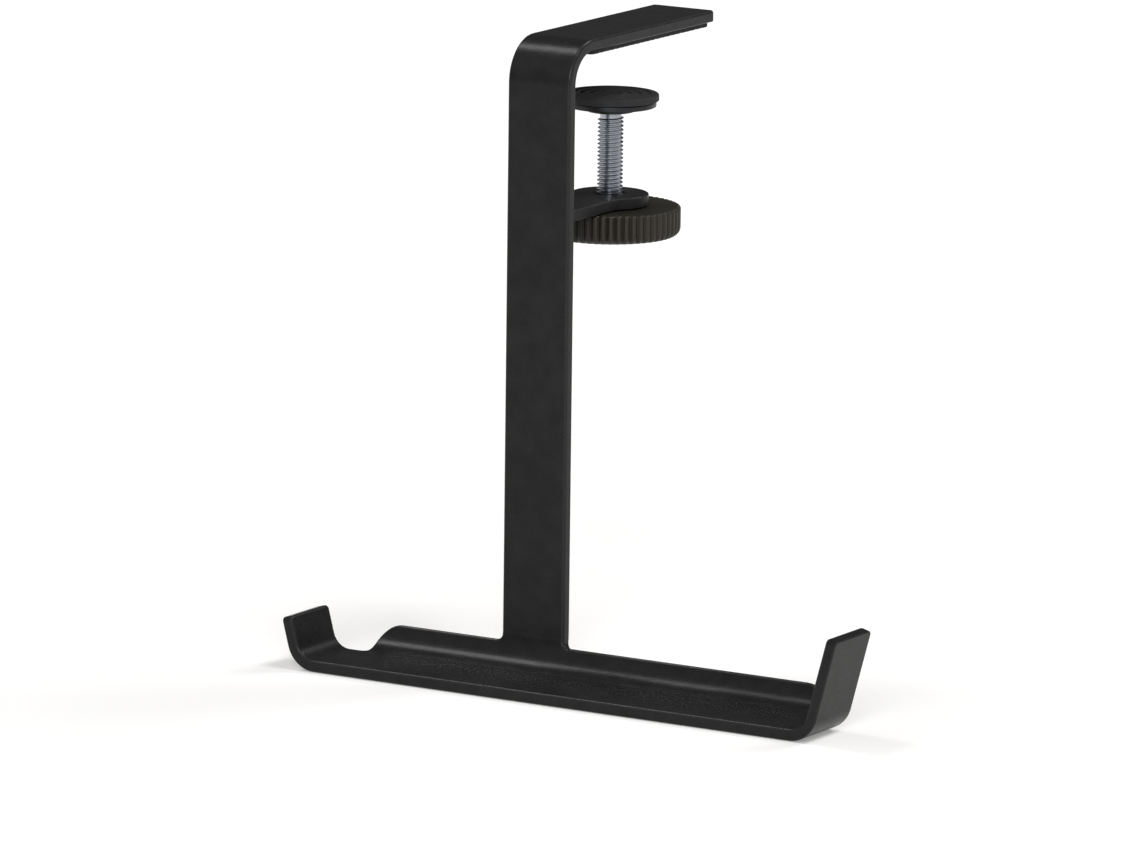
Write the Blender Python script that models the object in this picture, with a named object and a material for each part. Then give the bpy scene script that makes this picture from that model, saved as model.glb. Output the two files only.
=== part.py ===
"""Clamp-on desk hook for two bags, built in metres with +Z up.

The origin lies on the clamp screw's axis, on the face of the rubber pad that sits on the desk top.
X runs along the desk's edge, +Y runs in over the desk, so the hook's front faces -Y.
"""
import math

import bmesh
import bpy
from mathutils import Vector

MM = 0.001
ORIGIN = Vector((0.0, 0.0, 0.0))

# Driving dimensions of the bent sheet
STRAP_WIDTH = 22.0 * MM
SHEET_THICKNESS = 3.6 * MM
TOP_JAW_REACH = 86.0 * MM
TOP_BEND_INNER = 10.0 * MM
FOOT_BEND_INNER = 10.0 * MM
DROP = 189.3 * MM
RIM_START_SHARE = 0.19
FILLET_RADIUS = 1.6 * MM
RIGHT_REACH = 115.0 * MM
LEFT_REACH = 65.0 * MM
SHELF_DEPTH = 22.0 * MM
RIGHT_LIP_HEIGHT = 29.0 * MM
LEFT_LIP_HEIGHT = 13.0 * MM
LIP_LEAN = math.radians(15.0)
LIP_BEND_INNER = 6.0 * MM
RIM_CORNER = 7.0 * MM
LIP_RELIEF = 1.5 * MM
CORNER_RADIUS = 1.4 * MM
EDGE_ROUND = 0.45 * MM

# Driving dimensions of the clamp
SCREW_SETBACK = 42.5 * MM
SCREW_DIAMETER = 8.0 * MM
THREAD_PITCH = 1.25 * MM
CLAMP_TRAVEL = 25.0 * MM
JAW_WIDTH = 16.0 * MM
JAW_THICKNESS = 3.5 * MM
JAW_DEPTH = 47.0 * MM
JAW_LEG = 24.0 * MM
JAW_BEND_INNER = 3.0 * MM
EYE_DIAMETER = 24.0 * MM
EYE_NECK_ROUND = 6.0 * MM
NUT_ACROSS = 13.0 * MM
NUT_HEIGHT = 4.0 * MM
NUT_CHAMFER = 0.7 * MM
KNOB_DIAMETER = 43.8 * MM
KNOB_HEIGHT = 9.0 * MM
KNOB_RIBS = 56
RIB_DEPTH = 0.75 * MM
KNOB_LOWER_ROUND = 2.6 * MM
KNOB_UPPER_ROUND = 0.8 * MM
KNOB_BOSS_DIAMETER = 20.0 * MM
KNOB_BOSS_HEIGHT = 1.2 * MM
KNOB_WEB = 1.3 * MM
RECESS_DIAMETER = 20.0 * MM
HEAD_ACROSS = 13.0 * MM
HEAD_HEIGHT = 3.4 * MM
CAP_THICKNESS = 0.9 * MM
STUB_DIAMETER = 5.5 * MM
BUTTON_DIAMETER = 9.0 * MM
BUTTON_HEIGHT = 1.6 * MM
PLATE_DIAMETER = 28.0 * MM
PLATE_THICKNESS = 3.4 * MM
PLATE_HUB_DIAMETER = 15.0 * MM
PLATE_HUB_HEIGHT = 1.6 * MM
PLATE_WEB = 1.2 * MM

# Driving dimensions of the rubber and the welds
PAD_THICKNESS = 1.5 * MM
PAD_INSET = 1.2 * MM
PRESSURE_PAD_THICKNESS = 2.2 * MM
PRESSURE_PAD_LAP = 0.8 * MM
EDGE_PAD_LENGTH = 28.0 * MM
PAD_CORNER = 2.0 * MM
PAD_EDGE_ROUND = 0.35 * MM
WELD_LEG = 2.2 * MM
WELD_LENGTH = 17.0 * MM

# Named clearances
SEATED_GAP = 0.05 * MM
RUNNING_GAP = 0.3 * MM
KNOB_GAP = 0.35 * MM

# Mesh fineness
BEND_CUTS = 11
LIP_CUTS = 8
ROUND_STEPS = 6
TURN_STEPS = 72
RIB_STEPS = 4
BEVEL_STEPS = 2

# Sizes that follow from the driving dimensions
FRONT_Y = -SCREW_SETBACK
SHEET_BACK_Y = FRONT_Y + SHEET_THICKNESS
TOP_Z = PAD_THICKNESS + SEATED_GAP + SHEET_THICKNESS
SHELF_Z = TOP_Z - SHEET_THICKNESS - DROP
JAW_TOP_Z = -JAW_DEPTH
JAW_UNDER_Z = JAW_TOP_Z - JAW_THICKNESS
NUT_LOW_Z = JAW_UNDER_Z - SEATED_GAP - NUT_HEIGHT
KNOB_TOP_Z = JAW_UNDER_Z - KNOB_GAP
KNOB_LOW_Z = KNOB_TOP_Z - KNOB_HEIGHT
RECESS_FLOOR_Z = NUT_LOW_Z - KNOB_GAP
POCKET_TOP_Z = RECESS_FLOOR_Z - KNOB_WEB
BOSS_LOW_Z = KNOB_LOW_Z - KNOB_BOSS_HEIGHT
HEAD_TOP_Z = POCKET_TOP_Z - SEATED_GAP
HEAD_LOW_Z = HEAD_TOP_Z - HEAD_HEIGHT
PLATE_LOW_Z = JAW_TOP_Z + RUNNING_GAP + CLAMP_TRAVEL
PLATE_RIM_Z = PLATE_LOW_Z + PLATE_HUB_HEIGHT
PLATE_TOP_Z = PLATE_LOW_Z + PLATE_THICKNESS
PLATE_FLOOR_Z = PLATE_LOW_Z + PLATE_WEB
SHOULDER_Z = PLATE_LOW_Z - RUNNING_GAP
BUTTON_LOW_Z = PLATE_FLOOR_Z + RUNNING_GAP
BUTTON_TOP_Z = BUTTON_LOW_Z + BUTTON_HEIGHT
PRESSURE_PAD_LOW_Z = PLATE_TOP_Z + SEATED_GAP


def clear_scene():
    """Remove every object of the start-up scene."""
    for item in list(bpy.data.objects):
        bpy.data.objects.remove(item, do_unlink=True)


def linear(value):
    """Turn one sRGB channel into linear light."""
    low = value / 12.92
    high = ((value + 0.055) / 1.055) ** 2.4
    return low if value <= 0.04045 else high


def material(name, hex_colour, roughness, metallic):
    """Make a Principled material from a hex colour."""
    shade = bpy.data.materials.new(name)
    shade.use_nodes = True
    rgb = [linear(int(hex_colour[i:i + 2], 16) / 255.0) for i in (0, 2, 4)]
    shader = shade.node_tree.nodes["Principled BSDF"]
    shader.inputs["Base Color"].default_value = (rgb[0], rgb[1], rgb[2], 1.0)
    shader.inputs["Roughness"].default_value = roughness
    shader.inputs["Metallic"].default_value = metallic
    shade.diffuse_color = (rgb[0], rgb[1], rgb[2], 1.0)
    return shade


def finish(mesh, name, shade, parent=None, origin=ORIGIN, smooth_angle=math.radians(35.0)):
    """Turn a bmesh in world place into a named object whose origin is at the given point."""
    bmesh.ops.recalc_face_normals(mesh, faces=mesh.faces)
    bmesh.ops.translate(mesh, verts=mesh.verts, vec=-origin)
    for face in mesh.faces:
        face.smooth = True
    for edge in mesh.edges:
        edge.smooth = edge.is_manifold and edge.calc_face_angle(0.0) < smooth_angle
    data = bpy.data.meshes.new(name)
    mesh.to_mesh(data)
    mesh.free()
    data.materials.append(shade)
    item = bpy.data.objects.new(name, data)
    bpy.context.scene.collection.objects.link(item)
    item.location = origin
    if parent is not None:
        item.parent = parent
        item.location = origin - parent.location
    return item


def arc(centre, radius, start, stop, steps=ROUND_STEPS):
    """Points on an arc in the plane, from one angle to another, ends included."""
    points = []
    for i in range(steps + 1):
        angle = start + (stop - start) * i / steps
        points.append((centre[0] + radius * math.cos(angle), centre[1] + radius * math.sin(angle)))
    return points


def slab(outline, thickness, rounding):
    """A flat closed slab of the outline in X and S, from depth zero to the thickness, edges rounded."""
    mesh = bmesh.new()
    verts = [mesh.verts.new((x, s, 0.0)) for x, s in outline]
    face = mesh.faces.new(verts)
    made = bmesh.ops.extrude_face_region(mesh, geom=[face])
    moved = [v for v in made["geom"] if isinstance(v, bmesh.types.BMVert)]
    bmesh.ops.translate(mesh, verts=moved, vec=(0.0, 0.0, thickness))
    bmesh.ops.recalc_face_normals(mesh, faces=mesh.faces)
    rims = [e for e in mesh.edges if abs(e.verts[0].co.z - e.verts[1].co.z) < thickness / 2.0]
    if rounding > 0.0:
        bmesh.ops.bevel(mesh, geom=rims, offset=rounding, segments=BEVEL_STEPS, profile=0.5,
                        affect='EDGES', clamp_overlap=True, material=-1)
    return mesh


def cut(mesh, point, normal):
    """Divide the whole mesh along one plane and keep both sides."""
    geom = list(mesh.verts) + list(mesh.edges) + list(mesh.faces)
    bmesh.ops.bisect_plane(mesh, geom=geom, dist=1e-7, plane_co=point, plane_no=normal)


def path_frame(path, start, heading, side, s):
    """Place and heading at length s along a path of straight runs and bends.

    Each leg is (length, turn), and a straight run has no turn. The side is +1 where the sheet's
    depth lies left of the heading and -1 where it lies right of it.
    """
    place = Vector(start)
    angle = heading
    left = s
    for number, (length, turn) in enumerate(path):
        step = left if number == len(path) - 1 else min(left, length)
        if turn == 0.0:
            place = place + step * Vector((math.cos(angle), math.sin(angle)))
        else:
            radius = length / turn
            centre = place + radius * Vector((-math.sin(angle), math.cos(angle)))
            swing = step / radius
            arm = place - centre
            turned = Vector((arm.x * math.cos(swing) - arm.y * math.sin(swing),
                             arm.x * math.sin(swing) + arm.y * math.cos(swing)))
            place = centre + turned
            angle += swing
        left -= step
        if left <= 0.0:
            break
    depth = Vector((-math.sin(angle), math.cos(angle))) * side
    return place, depth


def bend_stations(path, cuts):
    """Lengths along the path at which a bent sheet has to be divided."""
    stations = []
    run = 0.0
    for length, turn in path:
        if turn != 0.0:
            stations += [run + length * i / cuts for i in range(cuts + 1)]
        run += length
    return stations


def bend(mesh, path, start, heading, side, cuts):
    """Wrap a flat slab in X, S and depth onto a path in the YZ plane."""
    for station in bend_stations(path, cuts):
        cut(mesh, (0.0, station, 0.0), (0.0, 1.0, 0.0))
    for vert in mesh.verts:
        place, depth = path_frame(path, start, heading, side, vert.co.y)
        spot = place + depth * vert.co.z
        vert.co = (vert.co.x, spot.x, spot.y)


def triangulate(mesh):
    """Weld stray doubles and split every face into triangles."""
    bmesh.ops.remove_doubles(mesh, verts=mesh.verts, dist=1e-7)
    bmesh.ops.triangulate(mesh, faces=mesh.faces, quad_method='BEAUTY', ngon_method='BEAUTY')


def hanger_path():
    """The sheet's front and top surface: in along the jaw, down, then forward."""
    outer = TOP_BEND_INNER + SHEET_THICKNESS
    jaw = TOP_JAW_REACH - outer
    upright = TOP_Z - outer - (SHELF_Z + FOOT_BEND_INNER)
    quarter = math.pi / 2.0
    return [(jaw, 0.0), (outer * quarter, quarter), (upright, 0.0),
            (FOOT_BEND_INNER * quarter, -quarter), (SHELF_DEPTH, 0.0)]


def half_blank(path, reach, height):
    """One side of the flat blank: half the strap, then an arm that narrows towards its lip."""
    half = STRAP_WIDTH / 2.0
    lengths = [leg[0] for leg in path]
    foot = sum(lengths[:3])
    shelf = sum(lengths[:4])
    front = sum(lengths)
    rim = foot + RIM_START_SHARE * lengths[3]
    rim_end = reach - LIP_BEND_INNER - SHEET_THICKNESS - LIP_RELIEF
    lip = (math.pi / 2.0 - LIP_LEAN) * LIP_BEND_INNER
    rise = LIP_BEND_INNER * (1.0 - math.sin(LIP_LEAN))
    straight = (height - rise) / math.cos(LIP_LEAN)
    tip = reach - LIP_BEND_INNER + lip + straight
    rear = shelf + LIP_RELIEF / 3.0
    quarter = math.pi / 2.0
    side = arc((half - CORNER_RADIUS, CORNER_RADIUS), CORNER_RADIUS, -quarter, 0.0)
    side += arc((half + FILLET_RADIUS, rim - FILLET_RADIUS), FILLET_RADIUS, 2.0 * quarter, quarter)
    side += arc((rim_end - RIM_CORNER, rim + RIM_CORNER), RIM_CORNER, -quarter, 0.0)
    side += arc((rim_end + LIP_RELIEF, rear - LIP_RELIEF), LIP_RELIEF, 2.0 * quarter, quarter)
    side += arc((tip - CORNER_RADIUS, rear + CORNER_RADIUS), CORNER_RADIUS, -quarter, 0.0)
    side += arc((tip - CORNER_RADIUS, front - CORNER_RADIUS), CORNER_RADIUS, 0.0, quarter)
    return side


def hanger_outline(path):
    """The flat blank: a strap that ends in a cross bar, longer on the right than on the left."""
    right = half_blank(path, RIGHT_REACH, RIGHT_LIP_HEIGHT)
    left = half_blank(path, LEFT_REACH, LEFT_LIP_HEIGHT)
    return right + [(-x, s) for x, s in reversed(left)]


def cut_lip_bend(mesh, side, reach):
    """Divide one arm where its end is to be bent up."""
    run = LIP_BEND_INNER * (math.pi / 2.0 - LIP_LEAN)
    for i in range(LIP_CUTS + 1):
        station = reach - LIP_BEND_INNER + run * i / LIP_CUTS
        cut(mesh, (side * station, 0.0, 0.0), (1.0, 0.0, 0.0))


def lift_lip(mesh, side, reach, height):
    """Bend the narrow end of one arm up and outward."""
    begin = reach - LIP_BEND_INNER
    turn = math.pi / 2.0 - LIP_LEAN
    path = [(begin, 0.0), (LIP_BEND_INNER * turn, turn), (height, 0.0)]
    for vert in mesh.verts:
        along = side * vert.co.x
        if along > begin:
            depth = SHELF_Z - vert.co.z
            place, down = path_frame(path, (0.0, SHELF_Z), 0.0, -1.0, along)
            spot = place + down * depth
            vert.co.x = side * spot.x
            vert.co.z = spot.y


def make_hanger_sheet(shade):
    """The one bent sheet: top jaw, upright, shelf with its rear rims, and both upturned ends."""
    path = hanger_path()
    mesh = slab(hanger_outline(path), SHEET_THICKNESS, EDGE_ROUND)
    cut_lip_bend(mesh, 1.0, RIGHT_REACH)
    cut_lip_bend(mesh, -1.0, LEFT_REACH)
    start = (FRONT_Y + TOP_JAW_REACH, TOP_Z)
    bend(mesh, path, start, math.pi, 1.0, BEND_CUTS)
    lift_lip(mesh, 1.0, RIGHT_REACH, RIGHT_LIP_HEIGHT)
    lift_lip(mesh, -1.0, LEFT_REACH, LEFT_LIP_HEIGHT)
    triangulate(mesh)
    return finish(mesh, "hanger_sheet", shade)


def revolve(profile, steps, ribs=0, depth=0.0, ribbed=()):
    """Turn a closed ring of (radius, height) points about Z, with ribs on the named points."""
    mesh = bmesh.new()
    rings = []
    for number, (radius, height) in enumerate(profile):
        if radius == 0.0:
            rings.append([mesh.verts.new((0.0, 0.0, height))])
            continue
        ring = []
        for i in range(steps):
            angle = 2.0 * math.pi * i / steps
            dip = 0.0
            if ribs and number in ribbed:
                dip = depth * (0.5 - 0.5 * math.cos(ribs * angle))
            reach = radius - dip
            ring.append(mesh.verts.new((reach * math.cos(angle), reach * math.sin(angle), height)))
        rings.append(ring)
    closed = profile[0][0] > 0.0
    pairs = list(zip(rings, rings[1:])) + ([(rings[-1], rings[0])] if closed else [])
    for low, high in pairs:
        for i in range(steps):
            j = (i + 1) % steps
            quad = [low[i % len(low)], low[j % len(low)], high[j % len(high)], high[i % len(high)]]
            corners = list(dict.fromkeys(quad))
            if len(corners) > 2:
                mesh.faces.new(corners)
    bmesh.ops.recalc_face_normals(mesh, faces=mesh.faces)
    return mesh


def hexagon(across, low, high):
    """A six-sided prism about the Z axis."""
    mesh = bmesh.new()
    bmesh.ops.create_cone(mesh, cap_ends=True, segments=6, radius1=across / math.sqrt(3.0),
                          radius2=across / math.sqrt(3.0), depth=high - low)
    bmesh.ops.translate(mesh, verts=mesh.verts, vec=(0.0, 0.0, (low + high) / 2.0))
    return mesh


def cutter(mesh, name):
    """A hidden helper object for a boolean."""
    data = bpy.data.meshes.new(name)
    bmesh.ops.recalc_face_normals(mesh, faces=mesh.faces)
    mesh.to_mesh(data)
    mesh.free()
    item = bpy.data.objects.new(name, data)
    bpy.context.scene.collection.objects.link(item)
    item.hide_render = True
    item.display_type = 'WIRE'
    return item


def combine(item, tool, operation):
    """Apply one exact boolean and remove its helper."""
    modifier = item.modifiers.new(operation.lower(), 'BOOLEAN')
    modifier.operation = operation
    modifier.solver = 'EXACT'
    modifier.object = tool
    graph = bpy.context.evaluated_depsgraph_get()
    data = bpy.data.meshes.new_from_object(item.evaluated_get(graph))
    item.modifiers.remove(modifier)
    old = item.data
    data.name = item.name
    item.data = data
    bpy.data.meshes.remove(old)
    bpy.data.objects.remove(tool, do_unlink=True)
    return item


def chamfer_profile(across, low, high, chamfer, both):
    """The double cone that takes the corners off a hexagon."""
    corner = across / math.sqrt(3.0)
    flat = across / 2.0
    drop = chamfer
    top = [(corner + RUNNING_GAP, high - drop), (flat - chamfer / 3.0, high + SEATED_GAP)]
    foot = [(corner + RUNNING_GAP, low + drop), (flat - chamfer / 3.0, low - SEATED_GAP)]
    if not both:
        top = [(corner + RUNNING_GAP, high + SEATED_GAP)]
    return [(0.0, low - SEATED_GAP)] + foot[::-1] + top + [(0.0, high + SEATED_GAP)]


def make_jaw_bracket(shade):
    """Lower jaw: a leg on the upright's back, a bend, and an arm that ends in a round eye."""
    quarter = math.pi / 2.0
    outer = JAW_BEND_INNER + JAW_THICKNESS
    back = SHEET_BACK_Y + SEATED_GAP
    half = JAW_WIDTH / 2.0
    eye = EYE_DIAMETER / 2.0
    leg = JAW_LEG - outer
    arm = -back - outer
    path = [(leg, 0.0), (outer * quarter, -quarter), (arm + eye, 0.0)]
    centre = leg + outer * quarter + arm
    reach = eye + EYE_NECK_ROUND
    neck = math.sqrt(reach * reach - (half + EYE_NECK_ROUND) ** 2)
    lean = math.atan2(half + EYE_NECK_ROUND, neck)
    right = arc((half - CORNER_RADIUS, CORNER_RADIUS), CORNER_RADIUS, -quarter, 0.0)
    right += arc((half + EYE_NECK_ROUND, centre - neck), EYE_NECK_ROUND, 2.0 * quarter,
                 quarter + lean)
    right += arc((0.0, centre), eye, -quarter + lean, quarter, ROUND_STEPS * 3)[1:]
    left = [(-x, s) for x, s in reversed(right[:-1])]
    mesh = slab(right + left, JAW_THICKNESS, EDGE_ROUND)
    bend(mesh, path, (back, JAW_TOP_Z - JAW_LEG), quarter, -1.0, BEND_CUTS)
    triangulate(mesh)
    item = finish(mesh, "jaw_bracket", shade)
    hole = SCREW_DIAMETER / 2.0 + RUNNING_GAP * 2.0
    low = JAW_UNDER_Z - JAW_THICKNESS
    high = JAW_TOP_Z + JAW_THICKNESS
    drill = revolve([(0.0, low), (hole, low), (hole, high), (0.0, high)], TURN_STEPS)
    return combine(item, cutter(drill, "drill"), 'DIFFERENCE')


def make_jaw_nut(shade):
    """Hexagon weld nut under the eye, with chamfered corners and a plain bore."""
    high = JAW_UNDER_Z - SEATED_GAP
    item = finish(hexagon(NUT_ACROSS, NUT_LOW_Z, high), "jaw_nut", shade)
    cone = revolve(chamfer_profile(NUT_ACROSS, NUT_LOW_Z, high, NUT_CHAMFER, False), TURN_STEPS)
    combine(item, cutter(cone, "nut_cone"), 'INTERSECT')
    bore = SCREW_DIAMETER / 2.0 + RUNNING_GAP
    mouth = bore + RUNNING_GAP
    low = NUT_LOW_Z - RUNNING_GAP
    top = high + RUNNING_GAP
    profile = [(0.0, low), (mouth + RUNNING_GAP, low), (bore, low + RUNNING_GAP * 3.0), (bore, top), (0.0, top)]
    return combine(item, cutter(revolve(profile, TURN_STEPS), "nut_bore"), 'DIFFERENCE')


def make_weld_seam(name, side, shade):
    """Fillet weld in the corner between the bracket's leg and the upright's back."""
    near = JAW_WIDTH / 2.0 + SEATED_GAP
    back = SHEET_BACK_Y + SEATED_GAP
    low = JAW_TOP_Z - JAW_LEG + CORNER_RADIUS
    mesh = bmesh.new()
    bulge = WELD_LEG * math.sqrt(0.5) / 2.0
    corner = [(near, back), (near + WELD_LEG, back), (near + WELD_LEG / 2.0 + bulge / 4.0,
              back + WELD_LEG / 2.0 + bulge / 4.0), (near, back + WELD_LEG)]
    verts = [mesh.verts.new((side * x, y, low)) for x, y in corner]
    face = mesh.faces.new(verts)
    made = bmesh.ops.extrude_face_region(mesh, geom=[face])
    moved = [v for v in made["geom"] if isinstance(v, bmesh.types.BMVert)]
    bmesh.ops.translate(mesh, verts=moved, vec=(0.0, 0.0, WELD_LENGTH))
    return finish(mesh, name, shade)


def make_clamp_screw(shade, parent):
    """Hexagon-headed screw with a shoulder, a stub and a swaged button for the swivel plate."""
    shaft = SCREW_DIAMETER / 2.0
    stub = STUB_DIAMETER / 2.0
    button = BUTTON_DIAMETER / 2.0
    point = (shaft - stub) / 2.0
    crown = BUTTON_HEIGHT / 4.0
    profile = [(0.0, HEAD_LOW_Z + HEAD_HEIGHT / 2.0), (shaft, HEAD_LOW_Z + HEAD_HEIGHT / 2.0),
               (shaft, SHOULDER_Z - point), (shaft - point, SHOULDER_Z), (stub, SHOULDER_Z),
               (stub, BUTTON_LOW_Z), (button, BUTTON_LOW_Z), (button, BUTTON_TOP_Z - crown),
               (button - crown, BUTTON_TOP_Z), (0.0, BUTTON_TOP_Z)]
    item = finish(revolve(profile, TURN_STEPS), "clamp_screw", shade, parent)
    head = hexagon(HEAD_ACROSS, HEAD_LOW_Z, HEAD_TOP_Z)
    return combine(item, cutter(head, "screw_head"), 'UNION')


def make_clamp_knob(shade, parent):
    """Ribbed knob with a recess for the nut and a hexagon pocket for the screw head."""
    rim = KNOB_DIAMETER / 2.0
    boss = KNOB_BOSS_DIAMETER / 2.0
    soft = KNOB_BOSS_HEIGHT / 3.0
    lower = arc((rim - KNOB_LOWER_ROUND, KNOB_LOW_Z + KNOB_LOWER_ROUND), KNOB_LOWER_ROUND,
                -math.pi / 2.0, 0.0, 4)
    upper = arc((rim - KNOB_UPPER_ROUND, KNOB_TOP_Z - KNOB_UPPER_ROUND), KNOB_UPPER_ROUND,
                0.0, math.pi / 2.0, 3)
    outer = [(0.0, KNOB_LOW_Z)] + lower + upper + [(0.0, KNOB_TOP_Z)]
    ribbed = range(1, len(outer) - 1)
    mesh = revolve(outer, KNOB_RIBS * RIB_STEPS, KNOB_RIBS, RIB_DEPTH, ribbed)
    item = finish(mesh, "clamp_knob", shade, parent, smooth_angle=math.radians(50.0))
    base = KNOB_LOW_Z + soft
    step = [(0.0, base), (boss + soft, base), (boss + soft, KNOB_LOW_Z), (boss, KNOB_LOW_Z - soft),
            (boss, BOSS_LOW_Z + soft), (boss - soft, BOSS_LOW_Z), (0.0, BOSS_LOW_Z)]
    combine(item, cutter(revolve(step, TURN_STEPS), "knob_boss"), 'UNION')
    hole = SCREW_DIAMETER / 2.0 + SEATED_GAP
    recess = RECESS_DIAMETER / 2.0
    mouth = recess + KNOB_UPPER_ROUND
    above = KNOB_TOP_Z + KNOB_UPPER_ROUND
    below = POCKET_TOP_Z - KNOB_WEB
    hollow = [(0.0, below), (hole, below), (hole, RECESS_FLOOR_Z), (recess, RECESS_FLOOR_Z),
              (recess, KNOB_TOP_Z - KNOB_UPPER_ROUND), (mouth, KNOB_TOP_Z), (mouth, above), (0.0, above)]
    combine(item, cutter(revolve(hollow, TURN_STEPS), "nut_recess"), 'DIFFERENCE')
    pocket = hexagon(HEAD_ACROSS + SEATED_GAP * 2.0, BOSS_LOW_Z - HEAD_HEIGHT, POCKET_TOP_Z)
    return combine(item, cutter(pocket, "head_pocket"), 'DIFFERENCE')


def make_knob_cap(shade, parent):
    """Hexagon plug with a flat face that closes the pocket under the screw head."""
    high = HEAD_LOW_Z - SEATED_GAP
    low = max(BOSS_LOW_Z, high - CAP_THICKNESS)
    mesh = hexagon(HEAD_ACROSS - SEATED_GAP * 2.0, low, high)
    rims = [e for e in mesh.edges if max(v.co.z for v in e.verts) < (low + high) / 2.0]
    bmesh.ops.bevel(mesh, geom=rims, offset=PAD_EDGE_ROUND, segments=BEVEL_STEPS, profile=0.5,
                    affect='EDGES', clamp_overlap=True, material=-1)
    return finish(mesh, "knob_cap", shade, parent)


def make_pressure_plate(shade, parent):
    """Swivel plate: a disc on a hub, hollowed for the screw's button."""
    rim = PLATE_DIAMETER / 2.0
    hub = PLATE_HUB_DIAMETER / 2.0
    hole = STUB_DIAMETER / 2.0 + RUNNING_GAP
    well = BUTTON_DIAMETER / 2.0 + RUNNING_GAP
    soft = EDGE_ROUND
    profile = [(hole, PLATE_LOW_Z), (hub - soft, PLATE_LOW_Z), (hub, PLATE_LOW_Z + soft),
               (hub, PLATE_RIM_Z - soft), (hub + soft, PLATE_RIM_Z), (rim - soft, PLATE_RIM_Z),
               (rim, PLATE_RIM_Z + soft), (rim, PLATE_TOP_Z - soft), (rim - soft, PLATE_TOP_Z),
               (well, PLATE_TOP_Z), (well, PLATE_FLOOR_Z), (hole, PLATE_FLOOR_Z)]
    return finish(revolve(profile, TURN_STEPS), "pressure_plate", shade, parent)


def make_pressure_pad(shade, parent):
    """Rubber disc on the swivel plate, dished a little where it meets the desk."""
    rim = PLATE_DIAMETER / 2.0 + PRESSURE_PAD_LAP
    high = PRESSURE_PAD_LOW_Z + PRESSURE_PAD_THICKNESS
    soft = PAD_EDGE_ROUND * 2.0
    ring = rim * math.sqrt(0.5)
    dish = PAD_EDGE_ROUND
    profile = [(0.0, PRESSURE_PAD_LOW_Z), (rim - soft / 2.0, PRESSURE_PAD_LOW_Z),
               (rim, PRESSURE_PAD_LOW_Z + soft / 2.0), (rim, high - soft), (rim - soft, high),
               (ring, high), (ring - dish, high - dish), (0.0, high - dish)]
    return finish(revolve(profile, TURN_STEPS), "pressure_pad", shade, parent)


def rounded_box(width, length):
    """Outline of a rectangle with round corners, centred across and starting at zero along."""
    quarter = math.pi / 2.0
    half = width / 2.0 - PAD_CORNER
    far = length - PAD_CORNER
    points = arc((half, PAD_CORNER), PAD_CORNER, -quarter, 0.0)
    points += arc((half, far), PAD_CORNER, 0.0, quarter)
    points += arc((-half, far), PAD_CORNER, quarter, 2.0 * quarter)
    points += arc((-half, PAD_CORNER), PAD_CORNER, 2.0 * quarter, 3.0 * quarter)
    return points


def make_top_jaw_pad(shade):
    """Thin rubber pad glued under the top jaw."""
    near = SHEET_BACK_Y + TOP_BEND_INNER + PAD_INSET
    far = FRONT_Y + TOP_JAW_REACH - PAD_INSET
    mesh = slab(rounded_box(STRAP_WIDTH - PAD_INSET * 2.0, far - near), PAD_THICKNESS, PAD_EDGE_ROUND)
    bmesh.ops.translate(mesh, verts=mesh.verts, vec=(0.0, near, 0.0))
    triangulate(mesh)
    return finish(mesh, "top_jaw_pad", shade)


def make_edge_pad(shade):
    """Thin rubber pad glued behind the upright, against the desk's edge."""
    high = TOP_Z - SHEET_THICKNESS - TOP_BEND_INNER - PAD_INSET
    mesh = slab(rounded_box(STRAP_WIDTH - PAD_INSET * 2.0, EDGE_PAD_LENGTH), PAD_THICKNESS, PAD_EDGE_ROUND)
    back = SHEET_BACK_Y + SEATED_GAP
    for vert in mesh.verts:
        vert.co = (vert.co.x, back + vert.co.z, high - vert.co.y)
    triangulate(mesh)
    return finish(mesh, "edge_pad", shade)


def pivot(name, height):
    """An empty on the screw's axis that carries a moving group."""
    item = bpy.data.objects.new(name, None)
    item.location = (0.0, 0.0, height)
    item.empty_display_size = PLATE_DIAMETER / 2.0
    bpy.context.scene.collection.objects.link(item)
    return item


def build():
    """Make every piece of the hook."""
    clear_scene()
    coat = material("satin_black_powder_coat", "2A2A2A", 0.42, 0.0)
    jaw_coat = material("satin_black_coat_on_jaw", "272727", 0.45, 0.0)
    seam = material("coated_weld", "242424", 0.5, 0.0)
    zinc = material("zinc_plated_nut", "8C8F92", 0.35, 1.0)
    steel = material("zinc_plated_screw", "9A9DA0", 0.3, 1.0)
    moulding = material("black_moulded_nylon", "2A2823", 0.5, 0.0)
    plug = material("black_cap", "242320", 0.45, 0.0)
    disc = material("black_oxide_plate", "303133", 0.4, 0.6)
    rubber = material("black_rubber", "1C1C1C", 0.8, 0.0)
    foam = material("charcoal_rubber_sheet", "1F1F1F", 0.85, 0.0)
    edge = material("charcoal_edge_rubber", "202020", 0.85, 0.0)
    make_hanger_sheet(coat)
    make_jaw_bracket(jaw_coat)
    make_weld_seam("weld_seam_left", -1.0, seam)
    make_weld_seam("weld_seam_right", 1.0, seam)
    make_jaw_nut(zinc)
    make_top_jaw_pad(foam)
    make_edge_pad(edge)
    swivel = pivot("swivel_axis", PLATE_LOW_Z)
    make_pressure_plate(disc, swivel)
    make_pressure_pad(rubber, swivel)
    turning = pivot("screw_axis", KNOB_LOW_Z)
    make_clamp_screw(steel, turning)
    make_clamp_knob(moulding, turning)
    make_knob_cap(plug, turning)


build()
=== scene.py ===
import math

import bmesh
import bpy
from bpy.props import FloatProperty, FloatVectorProperty, IntProperty, PointerProperty
from mathutils import Matrix, Vector


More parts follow.
